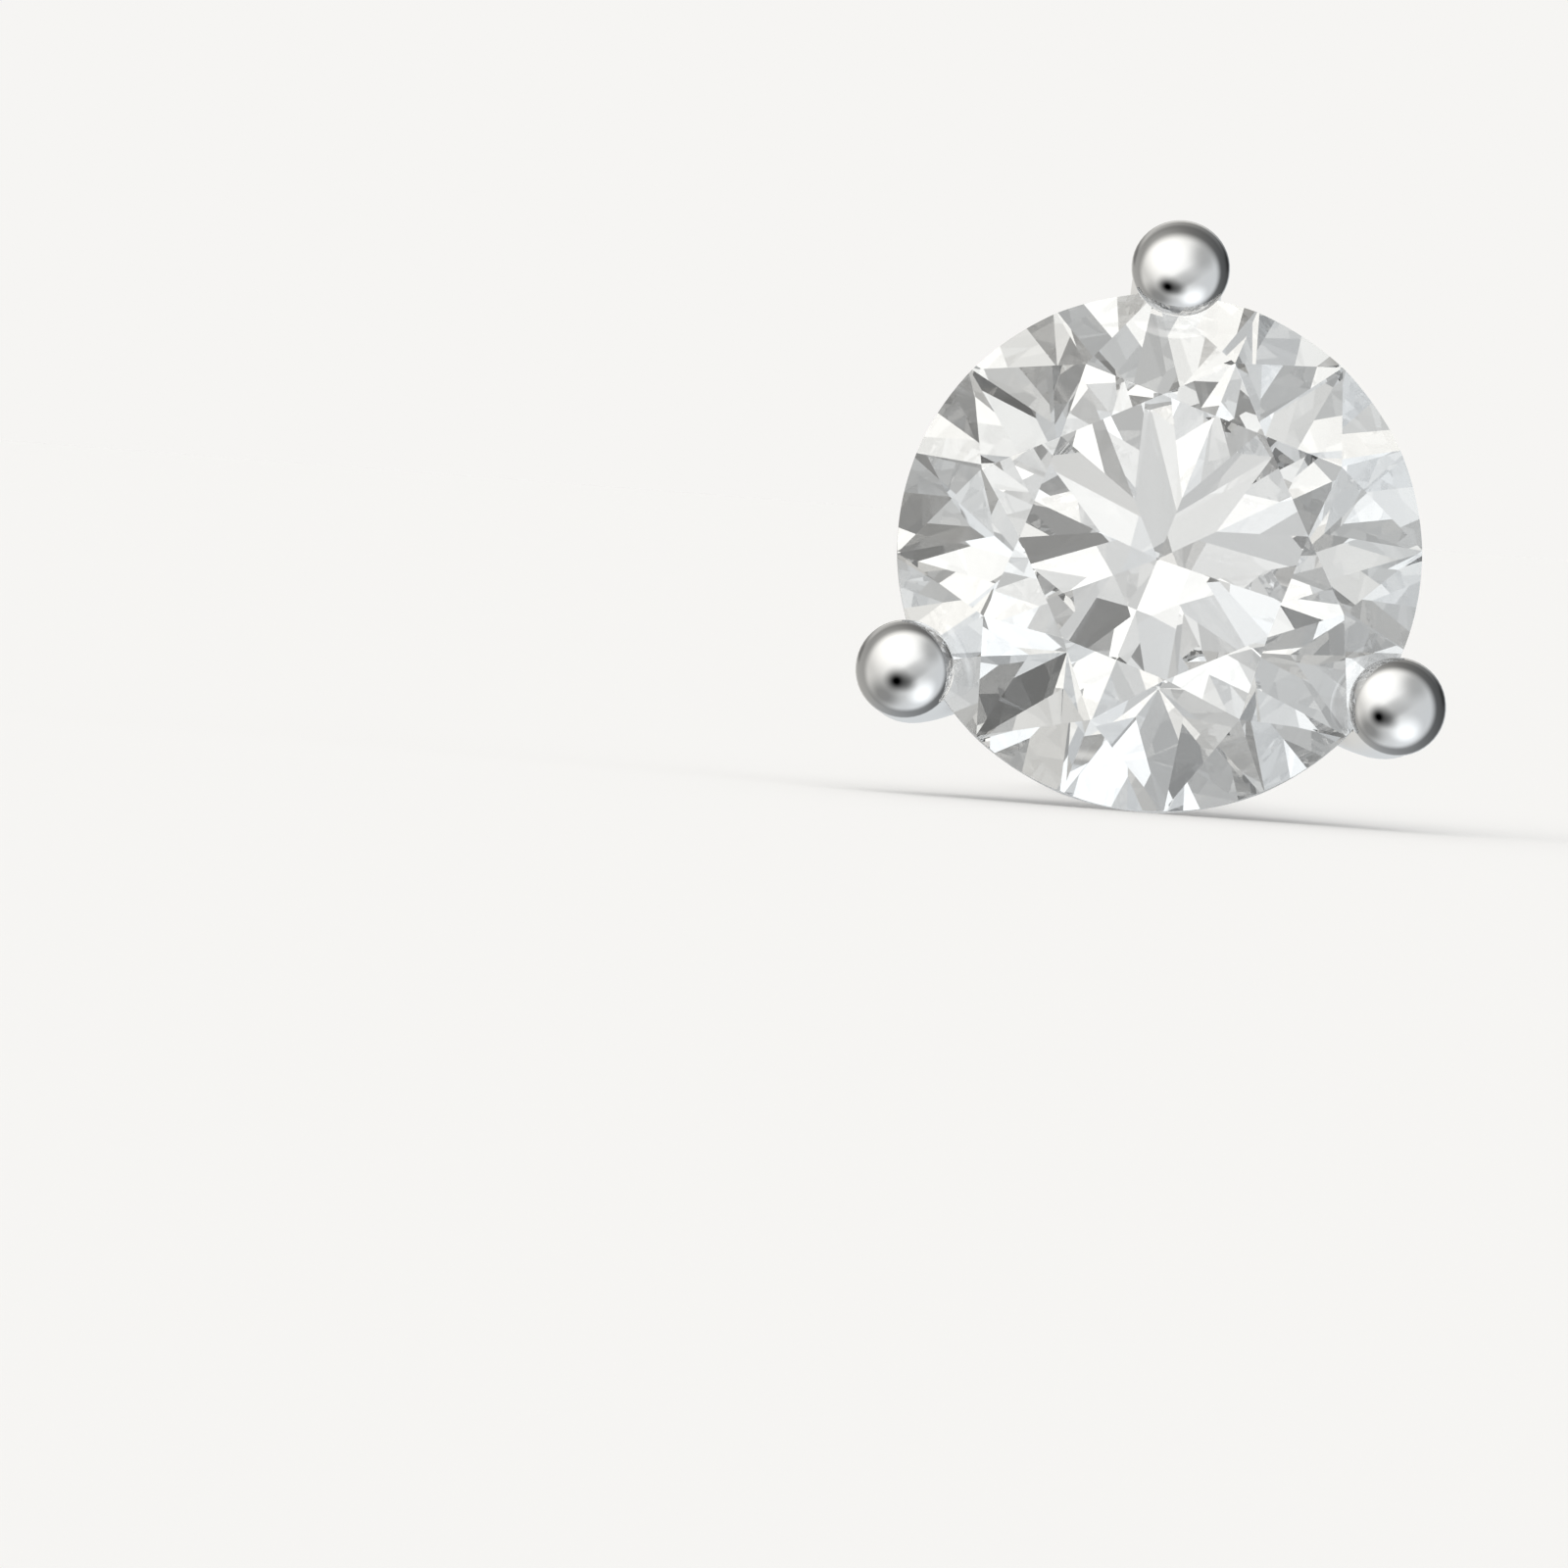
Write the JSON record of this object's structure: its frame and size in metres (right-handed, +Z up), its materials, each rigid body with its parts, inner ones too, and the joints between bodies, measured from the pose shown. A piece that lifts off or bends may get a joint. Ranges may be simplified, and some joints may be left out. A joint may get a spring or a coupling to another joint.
{
  "type": "stud earring",
  "caption": "Stud earring with a round brilliant-cut stone in a beaded three-prong setting on a straight post.",
  "frame": {"origin": "middle of the footprint, on the surface that the stud lies on", "axes": "+Z up; -Y is the way the stone's table faces, tipped up by 9.86 degrees; +Y is towards the post's tip; one prong points up"},
  "size_m": [0.0058, 0.0138, 0.0059],
  "materials": {
    "stone": "colourless gemstone with flat polished facets and a finely ground girdle",
    "white_metal": "mirror-polished white gold with faint polishing marks"
  },
  "bodies": {
    "root": {"stone": "stone", "setting": "white_metal"}
  },
  "joints": []
}
